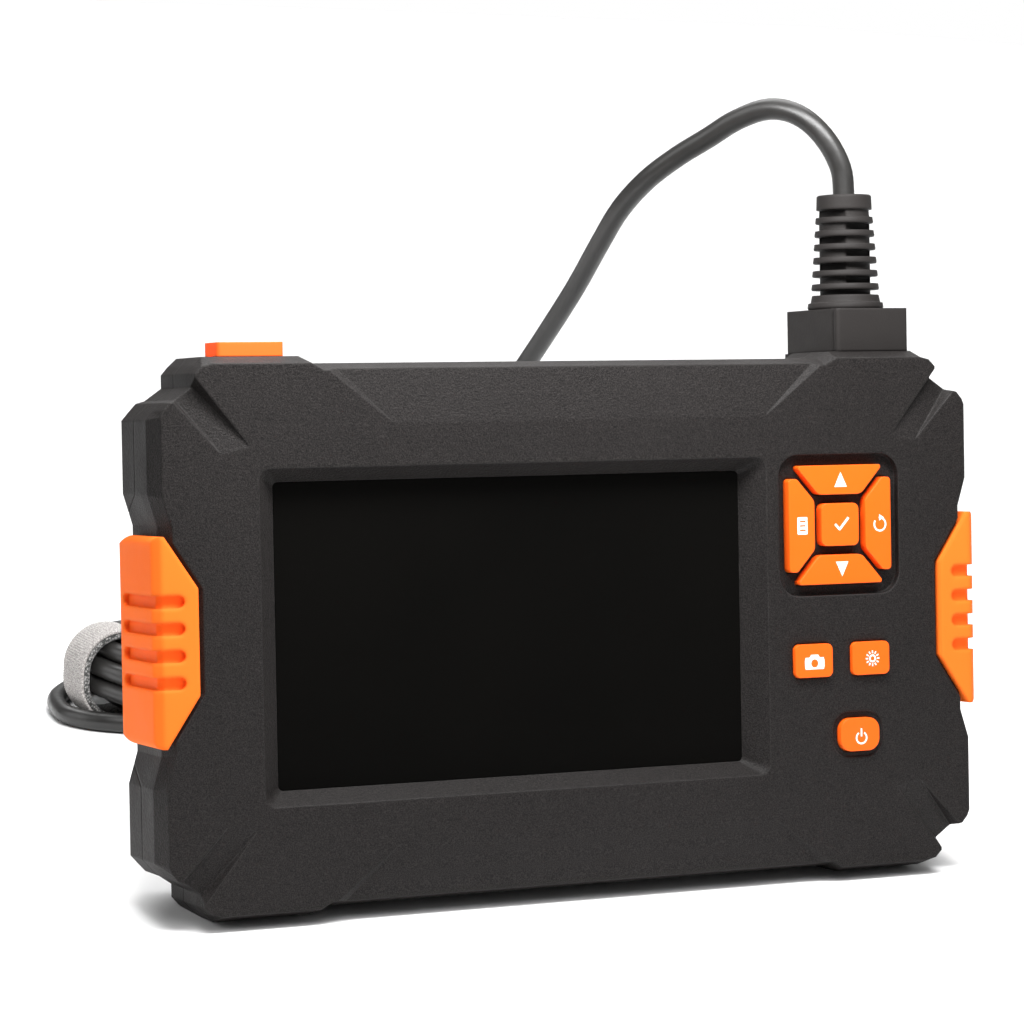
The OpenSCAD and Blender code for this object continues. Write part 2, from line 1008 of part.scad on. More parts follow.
module plug_body() {
    color([0.2, 0.19, 0.19])
        difference() {
            union() {
                translate([plug_x, plug_y, half_h])
                    linear_extrude(plug_h)
                        rounded(plug_w, plug_d, 0.8);
                box([nose[0][0], nose[0][1], half_h - nose_len], [nose[1][0], nose[1][1], half_h + eps]);
            }
            // Shallow steps down the block's corners, where its halves meet
            for (side = [-1, 1]) {
                translate([plug_x + side * plug_w / 2, plug_y - plug_d / 2 + 1.6, half_h])
                    box([-0.3, -0.35, -1], [0.3, 0.35, plug_h + 1]);
            }
            for (i = [0:5]) {
                box([62.7 + 2 * i, 19.1, half_h - nose_len - 1], [63.5 + 2 * i, 20, half_h - 3]);
            }
        }
}

module plug_contacts() {
    color("gold")
        for (i = [0:5]) {
            box([62.7 + 2 * i, 19.1, half_h - nose_len + 0.6], [63.5 + 2 * i, 19.35, half_h - 3]);
        }
}

relief_z = half_h + plug_h;
relief_h = 23.7;
rib_pitch = 2.75;
rib_t = 1.25;
rib_count = 6;
core_r = 5.2;
module strain_relief() {
    bore_r = cable_d / 2 + 0.1;
    // The flange and the step above it, then the ribs, then the plain collar
    profile = concat(
        [[0, 0], [7.6, 0], [7.85, 0.5], [7.7, 1.4], [7.2, 1.5], [6.9, 3], [core_r, 3.1]],
        [for (i = [0:rib_count - 1])
            let (z = 4.1 + i * rib_pitch, r = 7 - 0.2 * i)
            each [[core_r, z], [r - 0.1, z], [r, z + 0.3], [r - 0.15, z + rib_t], [core_r, z + rib_t]]
        ],
        [[core_r - 0.1, relief_h - 3], [5.75, relief_h - 3], [5.65, relief_h - 0.3],
         [5.4, relief_h], [0, relief_h]]
    );
    color([0.2, 0.19, 0.19])
        translate([plug_x, relief_y, relief_z])
            difference() {
                rotate_extrude()
                    polygon(profile);
                translate([0, 0, 2])
                    cylinder(r = bore_r, h = relief_h);
                // Slots between the ribs, turned a quarter turn from one gap to the next
                for (i = [0:rib_count - 1]) {
                    rotate(i % 2 == 0 ? 18 : 108)
                        translate([0, 0, 5.35 + i * rib_pitch])
                            for (side = [-1, 1]) {
                                box([-3.6, side > 0 ? 3.4 : -8, 0.05], [3.6, side > 0 ? 8 : -3.4, 1.4]);
                            }
                }
            }
}

// ---- cable ----
// Route points of the standing frame. The first is where the cable leaves the strain relief.
cable_exit = lean_point([plug_x, relief_y, relief_z + relief_h]);
cable_points = [
    cable_exit,
    [67.4, 14.4, 142], [64.3, 17, 148.2], [60.3, 21, 152.2], [56.2, 26, 153], [52, 32, 150.3],
    [48.5, 38, 146], [44.7, 44, 141.6], [41.2, 51, 136], [39.2, 59, 129], [38.6, 67, 120.8],
    [38.3, 77, 110.5], [37.6, 85, 102.4], [36.5, 96, 91.6], [33.5, 109, 77], [28.5, 121, 61],
    [22, 131, 45], [15.5, 139, 32], [10.8, 146.5, 23.8], [8.6, 154, 20]
];
coil_centre = [-18, 149];
coil_low = 2.2;
coil_high = 20;
coil_half = 6.9;
tail_points = [
    [-23.5, 180, 4.4], [-40, 175, 2.6], [-52.8, 161.7, 2.3], [-56.4, 145, 2.3], [-53.4, 137.2, 2.3],
    [-47, 132, 2.3], [-38, 128.2, 2.3], [-28, 124.2, 2.5], [-17, 120.6, 3], [-6, 118.8, 3.7],
    [4, 118.2, 4]
];
head_start = [4, 118.2, 4];

function unit(v) = v / norm(v);

// Catmull-Rom curve through the points, with a number of steps from each to the next
function curve(p, steps) =
    let (last = len(p) - 1)
    concat(
        [for (i = [0:last - 1], s = [0:steps - 1])
            let (t = s / steps, a = p[max(i - 1, 0)], b = p[i], c = p[i + 1], d = p[min(i + 2, last)])
            0.5 * (2 * b + (c - a) * t + (2 * a - 5 * b + 4 * c - d) * t * t
                + (3 * b - a - 3 * c + d) * t * t * t)
        ],
        [p[last]]
    );

function tangents(p) =
    let (last = len(p) - 1)
    [for (i = [0:last]) unit(p[min(i + 1, last)] - p[max(i - 1, 0)])];

// One side direction for each ring, carried along the curve without twisting
function sides(t, i, previous) =
    i == len(t) ? [] :
    let (side = unit(previous - (previous * t[i]) * t[i]))
    concat([side], sides(t, i + 1, side));

module sweep(points, radius, first_side) {
    facets = 10;
    t = tangents(points);
    u = sides(t, 0, first_side);
    rings = [
        for (i = [0:len(points) - 1], k = [0:facets - 1])
            let (angle = 360 * k / facets, v = cross(t[i], u[i]))
            points[i] + radius * (cos(angle) * u[i] + sin(angle) * v)
    ];
    last = len(points) - 1;
    walls = [
        for (i = [0:last - 1], k = [0:facets - 1])
            let (a = i * facets + k, b = i * facets + (k + 1) % facets)
            each [[a, a + facets, b], [b, a + facets, b + facets]]
    ];
    start = [[for (k = [0:facets - 1]) k]];
    end = [[for (k = [facets - 1:-1:0]) last * facets + k]];
    polyhedron(rings, concat(start, walls, end));
}

module cable() {
    color([0.2, 0.19, 0.19])
        sweep(curve(cable_points, 2), cable_d / 2, [1, 0, 0]);
}

module cable_tail() {
    color([0.2, 0.19, 0.19])
        sweep(curve(tail_points, 2), cable_d / 2, [0, 0, 1]);
}

module cable_coil() {
    color([0.2, 0.19, 0.19])
        translate([coil_centre[0], coil_centre[1], 0])
            rotate_extrude($fn = 96)
                polygon([
                    [coil_r - coil_half + 2, coil_low], [coil_r + coil_half - 2, coil_low],
                    [coil_r + coil_half, coil_low + 2], [coil_r + coil_half, coil_high - 2],
                    [coil_r + coil_half - 2, coil_high], [coil_r - coil_half + 2, coil_high],
                    [coil_r - coil_half, coil_high - 2], [coil_r - coil_half, coil_low + 2]
                ]);
}

// A band around the coil's turns
strap_angle = 186;
strap_w = 11;
strap_t = 1.9;
module tie_strap() {
    height = coil_high + 2.4;
    width = 2 * coil_half + 2 * strap_t + 1.2;
    color([0.6, 0.59, 0.57])
        translate([coil_centre[0], coil_centre[1], 0])
            rotate(strap_angle)
                translate([coil_r, strap_w / 2, height / 2])
                    rotate([90, 0, 0])
                        linear_extrude(strap_w)
                            difference() {
                                rounded(width, height, 7.6);
                                rounded(width - 2 * strap_t, height - 2 * strap_t, 5.7);
                            }
}

// ---- camera head ----
sleeve_len = 9;
barrel_len = 30;
module along_head(offset_x) {
    translate(head_start + [offset_x, 0, 0])
        rotate([0, 90, 0])
            children();
}

module head_sleeve() {
    color("dimgray")
        along_head(0)
            cylinder(r = 3, h = sleeve_len);
}

module head_barrel() {
    color("silver")
        along_head(sleeve_len)
            difference() {
                cylinder(d = head_d, h = barrel_len);
                translate([0, 0, barrel_len - 4])
                    cylinder(d = head_d - 1.2, h = 5);
            }
}

module led_ring() {
    color([0.15, 0.15, 0.15])
        along_head(sleeve_len + barrel_len - 4)
            difference() {
                cylinder(d = head_d - 1.24, h = 3.6);
                translate([0, 0, 2.4])
                    cylinder(r = 1.5, h = 2);
                for (turn = [0:60:300]) {
                    rotate(turn)
                        translate([2.45, 0, 2.6])
                            cylinder(r = 0.6, h = 2, $fn = 24);
                }
            }
}

module head_lens() {
    color([0.2, 0.25, 0.35])
        along_head(sleeve_len + barrel_len - 1.6)
            cylinder(r = 1.46, h = 1);
}

module head_leds() {
    color([1, 0.98, 0.8])
        along_head(sleeve_len + barrel_len - 1.4)
            for (turn = [0:60:300]) {
                rotate(turn)
                    translate([2.45, 0, 0])
                        cylinder(r = 0.56, h = 0.8, $fn = 24);
            }
}

leaned() front_shell();
leaned() rear_shell();
leaned() left_grip();
leaned() right_grip();
leaned() port_cover();
leaned() cover_strap();
leaned() case_screws();
leaned() display_window();
leaned() window_gasket();
leaned() lcd_panel();
leaned() backlight();
leaned() display_ribbon();
leaned() main_board();
leaned() board_screws();
leaned() board_chips();
leaned() switch_bodies();
leaned() key_up();
leaned() key_down();
leaned() key_menu();
leaned() key_rotate();
leaned() key_ok();
leaned() key_photo();
leaned() key_light();
leaned() key_power();
leaned() plunger_up();
leaned() plunger_down();
leaned() plunger_menu();
leaned() plunger_rotate();
leaned() plunger_ok();
leaned() plunger_photo();
leaned() plunger_light();
leaned() plunger_power();
leaned() battery_pack();
leaned() battery_pad();
leaned() battery_connector();
leaned() usb_port();
leaned() card_slot();
leaned() probe_socket();
leaned() socket_contacts();
leaned() plug_body();
leaned() plug_contacts();
leaned() strain_relief();
cable();
cable_coil();
cable_tail();
tie_strap();
head_sleeve();
head_barrel();
head_lens();
led_ring();
head_leds();
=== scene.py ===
"""Looks of a handheld inspection camera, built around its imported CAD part.

Units are metres in the row frame. A few helpers take millimetres in the casing's own frame:
x to the right, y from the front plane to the back, z up from the middle of its height.
"""

import json
import math

import bmesh
import bpy
from mathutils import Matrix, Vector


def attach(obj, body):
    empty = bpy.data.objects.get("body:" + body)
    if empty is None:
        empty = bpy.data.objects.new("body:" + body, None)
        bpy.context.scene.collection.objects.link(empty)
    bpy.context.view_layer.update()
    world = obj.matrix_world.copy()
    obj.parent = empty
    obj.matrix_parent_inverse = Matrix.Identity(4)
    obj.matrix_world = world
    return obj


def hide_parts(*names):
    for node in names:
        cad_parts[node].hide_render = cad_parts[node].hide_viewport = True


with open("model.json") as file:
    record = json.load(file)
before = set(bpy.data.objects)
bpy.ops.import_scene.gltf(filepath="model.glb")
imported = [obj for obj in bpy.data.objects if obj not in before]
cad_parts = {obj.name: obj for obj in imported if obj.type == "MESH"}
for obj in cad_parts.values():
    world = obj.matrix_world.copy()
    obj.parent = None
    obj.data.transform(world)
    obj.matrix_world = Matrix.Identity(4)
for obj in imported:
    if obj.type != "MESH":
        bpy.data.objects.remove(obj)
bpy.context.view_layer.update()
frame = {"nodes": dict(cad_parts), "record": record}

MM = 0.001

# The casing leans back on its base face, as part.scad stands it. LEANED turns the casing's
# millimetres into the row frame's metres.
LEAN = math.radians(9)
PARTING = 11.8
HALF_H = 53.0
BASE_MID = 12.0
LEANED = (
    Matrix.Scale(MM, 4)
    @ Matrix.Translation((0, -BASE_MID, 0))
    @ Matrix.Rotation(-LEAN, 4, "X")
    @ Matrix.Translation((0, -PARTING, HALF_H))
)


# ---- camera ----
# Solved from the window's four corners and the casing's outline in the photograph
CAMERA_PLACE = Vector((-0.2823, -0.59108, 0.18507))
CAMERA_FORWARD = Vector((0.41201, 0.89553, -0.16816))
CAMERA_UP = Vector((0.02725, 0.17236, 0.98466))
LENS_MM = 117.6
SENSOR_MM = 36.0


def make_camera():
    data = bpy.data.cameras.new("camera")
    data.lens = LENS_MM
    data.sensor_width = SENSOR_MM
    data.clip_start = 0.01
    data.clip_end = 50.0
    camera = bpy.data.objects.new("camera", data)
    bpy.context.scene.collection.objects.link(camera)
    back = -CAMERA_FORWARD.normalized()
    right = CAMERA_UP.cross(back).normalized()
    up = back.cross(right)
    turn = Matrix((right, up, back)).transposed()
    camera.matrix_world = Matrix.Translation(CAMERA_PLACE) @ turn.to_4x4()
    bpy.context.scene.camera = camera


# ---- material nodes ----
def new_material(name):
    """An empty material, its node tree and its one shader."""
    material = bpy.data.materials.new(name)
    material.use_nodes = True
    tree = material.node_tree
    tree.nodes.clear()
    out = tree.nodes.new("ShaderNodeOutputMaterial")
    shader = tree.nodes.new("ShaderNodeBsdfPrincipled")
    tree.links.new(shader.outputs["BSDF"], out.inputs["Surface"])
    return material, tree, shader


def place_of(tree, stretch=(1, 1, 1)):
    """Object coordinates, which are metres of the row frame, stretched along each axis."""
    coords = tree.nodes.new("ShaderNodeTexCoord")
    mapping = tree.nodes.new("ShaderNodeMapping")
    mapping.inputs["Scale"].default_value = stretch
    tree.links.new(coords.outputs["Object"], mapping.inputs["Vector"])
    return mapping.outputs["Vector"]


def noise(tree, per_metre, detail=2.0, rough=0.5, stretch=(1, 1, 1)):
    """Cloudy values from 0 to 1, with so many clouds to the metre."""
    node = tree.nodes.new("ShaderNodeTexNoise")
    node.inputs["Scale"].default_value = per_metre
    node.inputs["Detail"].default_value = detail
    node.inputs["Roughness"].default_value = rough
    tree.links.new(place_of(tree, stretch), node.inputs["Vector"])
    return node.outputs["Fac"]


def cells(tree, per_metre):
    """Distance from the middles of small scattered cells."""
    node = tree.nodes.new("ShaderNodeTexVoronoi")
    node.inputs["Scale"].default_value = per_metre
    tree.links.new(place_of(tree), node.inputs["Vector"])
    return node.outputs["Distance"]


def ramp(tree, source, stops):
    """Colours over a value. Stops are (position, (r, g, b))."""
    node = tree.nodes.new("ShaderNodeValToRGB")
    band = node.color_ramp
    while len(band.elements) < len(stops):
        band.elements.new(0.5)
    for element, (position, color) in zip(band.elements, stops, strict=True):
        element.position = position
        element.color = (*color, 1)
    tree.links.new(source, node.inputs["Fac"])
    return node.outputs["Color"]


def spread(tree, source, low, high, from_low=0.3, from_high=0.7):
    """A value stretched from one range to another."""
    node = tree.nodes.new("ShaderNodeMapRange")
    node.inputs["From Min"].default_value = from_low
    node.inputs["From Max"].default_value = from_high
    node.inputs["To Min"].default_value = low
    node.inputs["To Max"].default_value = high
    tree.links.new(source, node.inputs["Value"])
    return node.outputs["Result"]


def bump(tree, height, strength, distance, below=None):
    """Relief of a height in metres, on top of another relief if there is one below."""
    node = tree.nodes.new("ShaderNodeBump")
    node.inputs["Strength"].default_value = strength
    node.inputs["Distance"].default_value = distance
    tree.links.new(height, node.inputs["Height"])
    if below is not None:
        tree.links.new(below, node.inputs["Normal"])
    return node.outputs["Normal"]


BEVEL_SAMPLES = 6


def shade(color, factor):
    """A colour made darker or lighter."""
    return tuple(min(1.0, c * factor) for c in color)


def soft_edges(tree, radius):
    """The surface's direction with every edge rounded by a radius."""
    rounded = tree.nodes.new("ShaderNodeBevel")
    rounded.samples = BEVEL_SAMPLES
    rounded.inputs["Radius"].default_value = radius
    return rounded.outputs["Normal"]


def edge_highlight_mask(tree, radius):
    """1 on edges that get a painted highlight and 0 on flat ground, from how far the rounded normal turns
    away.
    """
    rounded = soft_edges(tree, radius)
    ground = tree.nodes.new("ShaderNodeNewGeometry")
    dot = tree.nodes.new("ShaderNodeVectorMath")
    dot.operation = "DOT_PRODUCT"
    tree.links.new(rounded, dot.inputs[0])
    tree.links.new(ground.outputs["Normal"], dot.inputs[1])
    return spread(tree, dot.outputs["Value"], 1.0, 0.0, 0.8, 0.995)


def mix_color(tree, factor, a, b):
    """Mixes two colours, half and half when there is no factor."""
    node = tree.nodes.new("ShaderNodeMix")
    node.data_type = "RGBA"
    tree.links.new(a, node.inputs["A"])
    tree.links.new(b, node.inputs["B"])
    if factor is not None:
        tree.links.new(factor, node.inputs["Factor"])
    return node.outputs["Result"]


def multiply(tree, a, b):
    node = tree.nodes.new("ShaderNodeMath")
    node.operation = "MULTIPLY"
    tree.links.new(a, node.inputs[0])
    tree.links.new(b, node.inputs[1])
    return node.outputs["Value"]


# ---- materials ----
def moulded(name, color, rough, grain_mm, grain_height_mm, mottle=0.06, specular=0.5, round_mm=0.0):
    """A moulded plastic or rubber with a fine grain and slightly uneven gloss."""
    material, tree, shader = new_material(name)
    clouds = noise(tree, 45, 3)
    tint = ramp(tree, clouds, [(0.3, shade(color, 1 - mottle)), (0.7, shade(color, 1 + mottle))])
    tree.links.new(tint, shader.inputs["Base Color"])
    gloss = spread(tree, noise(tree, 220, 4), rough - 0.04, rough + 0.04)
    tree.links.new(gloss, shader.inputs["Roughness"])
    shader.inputs["Specular IOR Level"].default_value = specular
    grain = noise(tree, 1 / (grain_mm * MM), 2, 0.6)
    below = soft_edges(tree, round_mm * MM) if round_mm else None
    tree.links.new(bump(tree, grain, 1.0, grain_height_mm * MM, below), shader.inputs["Normal"])
    return material


CASING_COLOR = (0.0098, 0.0086, 0.0083)
# Paler colours painted on the casing's edges as a highlight, in place of light caught by the rounded edges
EDGE_HIGHLIGHT_COLORS = [(0.3, (0.035, 0.033, 0.032)), (0.7, (0.07, 0.066, 0.064))]
CASING_EDGE = 0.0006
# How far in from an edge the painted highlight reaches
HIGHLIGHT_EDGE = 0.00035


def casing_material():
    """Black spark-eroded plastic with a painted highlight in patches along its edges, and faint dust."""
    material, tree, shader = new_material("casing_abs")
    clouds = noise(tree, 28, 4)
    base = ramp(tree, clouds, [(0.3, shade(CASING_COLOR, 0.85)), (0.72, shade(CASING_COLOR, 1.15))])
    speckle = noise(tree, 5200, 0)
    grain = ramp(tree, speckle, [(0.36, shade(CASING_COLOR, 0.1)), (0.68, shade(CASING_COLOR, 3.2))])
    ground = mix_color(tree, None, base, grain)
    # Painted highlight: the base colour turns paler along the edges, in patches, to stand in for light
    # caught there
    painted_edge_highlight = ramp(tree, noise(tree, 600, 3), EDGE_HIGHLIGHT_COLORS)
    highlight_patches = spread(tree, noise(tree, 90, 3), 0.15, 0.7)
    edge = multiply(tree, edge_highlight_mask(tree, HIGHLIGHT_EDGE), highlight_patches)
    tree.links.new(mix_color(tree, edge, ground, painted_edge_highlight), shader.inputs["Base Color"])
    tree.links.new(spread(tree, noise(tree, 130, 4), 0.52, 0.62), shader.inputs["Roughness"])
    shader.inputs["Specular IOR Level"].default_value = 0.15
    pits = bump(tree, noise(tree, 2200, 2, 0.6), 1.0, 0.00013, soft_edges(tree, CASING_EDGE))
    tree.links.new(bump(tree, noise(tree, 300, 2), 0.35, 0.0001, pits), shader.inputs["Normal"])
    return material


def glass_material():
    """Tinted acrylic over a display that is off, with faint wiping marks in its gloss."""
    material, tree, shader = new_material("window_acrylic")
    tint = ramp(tree, noise(tree, 18, 2), [(0.3, (0.0022, 0.0021, 0.0019)), (0.7, (0.003, 0.0028, 0.0025))])
    tree.links.new(tint, shader.inputs["Base Color"])
    streaks = noise(tree, 60, 4, 0.6, (1, 0.2, 3))
    tree.links.new(spread(tree, streaks, 0.05, 0.12), shader.inputs["Roughness"])
    shader.inputs["Specular IOR Level"].default_value = 0.1
    wave = noise(tree, 40, 1)
    tree.links.new(bump(tree, wave, 0.1, 0.00003), shader.inputs["Normal"])
    return material


def metal_material(name, color, rough, turned=(1, 1, 1)):
    """Bare metal with fine machining lines, drawn out along an axis by turned."""
    material, tree, shader = new_material(name)
    shader.inputs["Metallic"].default_value = 1.0
    tint = ramp(tree, noise(tree, 120, 3), [(0.3, shade(color, 0.9)), (0.7, shade(color, 1.05))])
    tree.links.new(tint, shader.inputs["Base Color"])
    lines = noise(tree, 1500, 3, 0.6, turned)
    tree.links.new(spread(tree, lines, rough - 0.07, rough + 0.1), shader.inputs["Roughness"])
    tree.links.new(bump(tree, lines, 0.4, 0.00001), shader.inputs["Normal"])
    return material


def cable_material():
    """Black sheath with a soft gloss, faint handling marks and a slight lengthwise waviness."""
    material, tree, shader = new_material("cable_sheath")
    tint = ramp(tree, noise(tree, 70, 3), [(0.3, (0.014, 0.0135, 0.013)), (0.7, (0.022, 0.021, 0.02))])
    tree.links.new(tint, shader.inputs["Base Color"])
    tree.links.new(spread(tree, noise(tree, 420, 4), 0.3, 0.42), shader.inputs["Roughness"])
    shader.inputs["Specular IOR Level"].default_value = 0.5
    skin = bump(tree, noise(tree, 2600, 2), 0.6, 0.00002)
    tree.links.new(bump(tree, noise(tree, 260, 2), 0.5, 0.00006, skin), shader.inputs["Normal"])
    return material


def woven_material(name, dark, light, per_metre):
    """A woven or piled band: rows of small dots with darker gaps."""
    material, tree, shader = new_material(name)
    dots = cells(tree, per_metre)
    tint = ramp(tree, dots, [(0.1, light), (0.65, dark)])
    tree.links.new(tint, shader.inputs["Base Color"])
    tree.links.new(spread(tree, noise(tree, 500, 3), 0.6, 0.8), shader.inputs["Roughness"])
    shader.inputs["Sheen Weight"].default_value = 0.25
    tree.links.new(bump(tree, dots, 0.8, 0.0001), shader.inputs["Normal"])
    return material


def legend_material():
    """White paint, a little uneven."""
    material, tree, shader = new_material("legend_white")
    tint = ramp(tree, noise(tree, 900, 3), [(0.3, (0.8, 0.79, 0.76)), (0.7, (0.9, 0.89, 0.87))])
    tree.links.new(tint, shader.inputs["Base Color"])
    tree.links.new(spread(tree, noise(tree, 2000, 2), 0.42, 0.52), shader.inputs["Roughness"])
    tree.links.new(bump(tree, noise(tree, 5000, 2), 0.3, 0.00001), shader.inputs["Normal"])
    return material


def board_material():
    """Solder resist with the faint relief of traces below it."""
    material, tree, shader = new_material("solder_resist")
    traces = tree.nodes.new("ShaderNodeTexBrick")
    traces.inputs["Scale"].default_value = 160
    traces.inputs["Mortar Size"].default_value = 0.03
    traces.inputs["Color1"].default_value = (0.012, 0.10, 0.045, 1)
    traces.inputs["Color2"].default_value = (0.014, 0.12, 0.055, 1)
    traces.inputs["Mortar"].default_value = (0.03, 0.17, 0.08, 1)
    coords = place_of(tree)
    turn = tree.nodes.new("ShaderNodeCombineXYZ")
    split = tree.nodes.new("ShaderNodeSeparateXYZ")
    tree.links.new(coords, split.inputs["Vector"])
    tree.links.new(split.outputs["X"], turn.inputs["X"])
    tree.links.new(split.outputs["Z"], turn.inputs["Y"])
    tree.links.new(turn.outputs["Vector"], traces.inputs["Vector"])
    tree.links.new(traces.outputs["Color"], shader.inputs["Base Color"])
    tree.links.new(spread(tree, noise(tree, 300, 3), 0.25, 0.4), shader.inputs["Roughness"])
    tree.links.new(bump(tree, traces.outputs["Fac"], 0.3, 0.00003), shader.inputs["Normal"])
    return material


def lens_material():
    """Coated glass with a dark violet sheen."""
    material, tree, shader = new_material("lens_glass")
    tint = ramp(tree, noise(tree, 900, 1), [(0.3, (0.02, 0.03, 0.07)), (0.7, (0.05, 0.03, 0.09))])
    tree.links.new(tint, shader.inputs["Base Color"])
    tree.links.new(spread(tree, noise(tree, 600, 2), 0.02, 0.06), shader.inputs["Roughness"])
    shader.inputs["Coat Weight"].default_value = 1.0
    shader.inputs["Coat Roughness"].default_value = 0.02
    return material


ORANGE = (1.0, 0.124, 0.0085)
GRIP_ORANGE = (1.0, 0.165, 0.018)
COVER_ORANGE = (1.0, 0.127, 0.02)
PLUG_BLACK = (0.019, 0.017, 0.0163)


def make_materials():
    """One material for each material slot of the record."""
    return {
        "casing": casing_material(),
        "grip_orange": moulded("grip_rubber", GRIP_ORANGE, 0.6, 0.5, 0.01, 0.03, 0.07, round_mm=1.1),
        "cover_orange": moulded("cover_rubber", COVER_ORANGE, 0.6, 0.5, 0.01, 0.03, 0.1, round_mm=0.4),
        "key_orange": moulded("key_plastic", ORANGE, 0.36, 0.6, 0.006, 0.03, 0.2, round_mm=0.4),
        "screw_steel": metal_material("screw_steel", (0.5, 0.5, 0.49), 0.32),
        "window_glass": glass_material(),
        "gasket_black": moulded("gasket_foam", (0.015, 0.015, 0.015), 0.85, 0.4, 0.05),
        "lcd": moulded("lcd_film", (0.012, 0.013, 0.016), 0.2, 2.0, 0.002),
        "white_plastic": moulded("white_plastic", (0.72, 0.71, 0.66), 0.4, 0.5, 0.01),
        "ribbon_amber": moulded("polyimide", (0.45, 0.17, 0.025), 0.25, 1.5, 0.01),
        "board_green": board_material(),
        "dark_plastic": moulded("dark_plastic", (0.02, 0.02, 0.021), 0.42, 0.4, 0.01),
        "switch_metal": metal_material("switch_metal", (0.6, 0.6, 0.58), 0.3),
        "battery_wrap": moulded("battery_foil", (0.1, 0.12, 0.15), 0.3, 3.0, 0.03),
        "contact_gold": metal_material("contact_gold", (0.85, 0.6, 0.2), 0.2),
        "plug_black": moulded("plug_pvc", PLUG_BLACK, 0.55, 0.45, 0.03, 0.08, 0.15, round_mm=0.7),
        "cable_black": cable_material(),
        "strap_grey": woven_material("strap_web", (0.27, 0.25, 0.24), (0.62, 0.59, 0.57), 2600),
        "strap_pile": woven_material("strap_pile", (0.03, 0.03, 0.029), (0.42, 0.41, 0.4), 1900),
        "head_steel": metal_material("head_steel", (0.6, 0.6, 0.6), 0.28, (0.15, 1, 1)),
        "lens_glass": lens_material(),
        "legend_white": legend_material(),
        "led_white": moulded("led_phosphor", (0.85, 0.8, 0.35), 0.25, 0.4, 0.01),
    }


def dress_nodes(materials):
    """Gives every CAD node its slot's material."""
    for row in frame["record"]["subparts"]:
        data = frame["nodes"][row["node"]].data
        data.materials.clear()
        data.materials.append(materials[row["material_slot"]])


# ---- CAD edges ----
# Millimetres of rounding. The shells are left out: their material rounds their edges itself.
EDGE_WIDTHS = {
    "left_grip": 0.5, "right_grip": 0.5, "port_cover": 0.4,
    "key_up": 0.4, "key_down": 0.4, "key_menu": 0.4, "key_rotate": 0.4, "key_ok": 0.45,
    "key_photo": 0.5, "key_light": 0.5, "key_power": 0.5, "plug_body": 0.4, "strain_relief": 0.15,
}
EDGE_ANGLE_DEG = 25.0
EDGE_SEGMENTS = 2
WELD_REACH = 2e-6


def soften_edges(node, width_mm):
    """Rounds a CAD node's sharp edges with modifiers, and leaves its mesh as it is."""
    piece = frame["nodes"][node]
    data = piece.data
    if "custom_normal" in data.attributes:
        data.attributes.remove(data.attributes["custom_normal"])
    for polygon in data.polygons:
        polygon.use_smooth = True
    weld = piece.modifiers.new("weld", "WELD")
    weld.merge_threshold = WELD_REACH
    bevel = piece.modifiers.new("bevel", "BEVEL")
    bevel.width = width_mm * MM
    bevel.segments = EDGE_SEGMENTS
    bevel.limit_method = "ANGLE"
    bevel.angle_limit = math.radians(EDGE_ANGLE_DEG)
    bevel.use_clamp_overlap = True
    bevel.harden_normals = True


# ---- pieces ----
def new_piece(name, points, faces, material, body, smooth=False):
    """A mesh that rides on a body and says which material slot it shows."""
    data = bpy.data.meshes.new(name)
    data.from_pydata([tuple(p) for p in points], [], faces)
    data.materials.append(material)
    for polygon in data.polygons:
        polygon.use_smooth = smooth
    piece = bpy.data.objects.new(name, data)
    bpy.context.scene.collection.objects.link(piece)
    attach(piece, body)
    return piece


# ---- cable ----
CABLE_D = 4.5
# The route of part.scad, in millimetres of the row frame
ROUTE = [
    (67.4, 14.4, 142), (64.3, 17, 148.2), (60.3, 21, 152.2), (56.2, 26, 153), (52, 32, 150.3),
    (48.5, 38, 146), (44.7, 44, 141.6), (41.2, 51, 136), (39.2, 59, 129), (38.6, 67, 120.8),
    (38.3, 77, 110.5), (37.6, 85, 102.4), (36.5, 96, 91.6), (33.5, 109, 77), (28.5, 121, 61),
    (22, 131, 45), (15.5, 139, 32), (10.8, 146.5, 23.8), (8.6, 154, 20),
]
TAIL = [
    (-40, 175, 2.4), (-52.8, 161.7, 2.3), (-56.4, 145, 2.3), (-53.4, 137.2, 2.3), (-47, 132, 2.3),
    (-38, 128.2, 2.3), (-28, 124.2, 2.5), (-17, 120.6, 3), (-6, 118.8, 3.7), (4, 118.2, 4),
]
# Where the cable leaves the strain relief, in the casing's millimetres, and how deep it starts
RELIEF_TOP = (68, 15.5, 85.5)
START_DEPTH = 7
COIL_CENTRE = (-18, 149)
COIL_R = 27.0
TURN_PITCH = 4.55
# Height of each layer's turns above the lowest layer's
LAYER_HEIGHTS = (0.0, 3.95, 8.45, 12.4)
# Where each turn lies: (step across the bundle, layer), from the first turn to the last
TURN_PLACES = [
    (0.5, 3), (-0.5, 3), (-1, 2), (0, 2), (1, 2), (1, 1), (0, 1), (-1, 1), (-0.5, 0), (0.5, 0),
]
COIL_START = 10.6
COIL_END = 100.0
POINTS_PER_TURN = 18
# A turn shifts to the next turn's place in its last part
SHIFT_SHARE = 0.22
# The turns' small unevenness: its size, and its waves to each turn of the coil
WOBBLE = 0.25
WOBBLE_WAVES = 1.31
FLOOR_GAP = 0.05
# The strap holds the turns up where it passes below them, and this far round in degrees
STRAP_ANGLE = 186.0
STRAP_LIFT = 2.7
LIFT_REACH = 50


def smooth_step(share):
    """The share from 0 to 1 with a slow start and end."""
    return share * share * (3 - 2 * share)


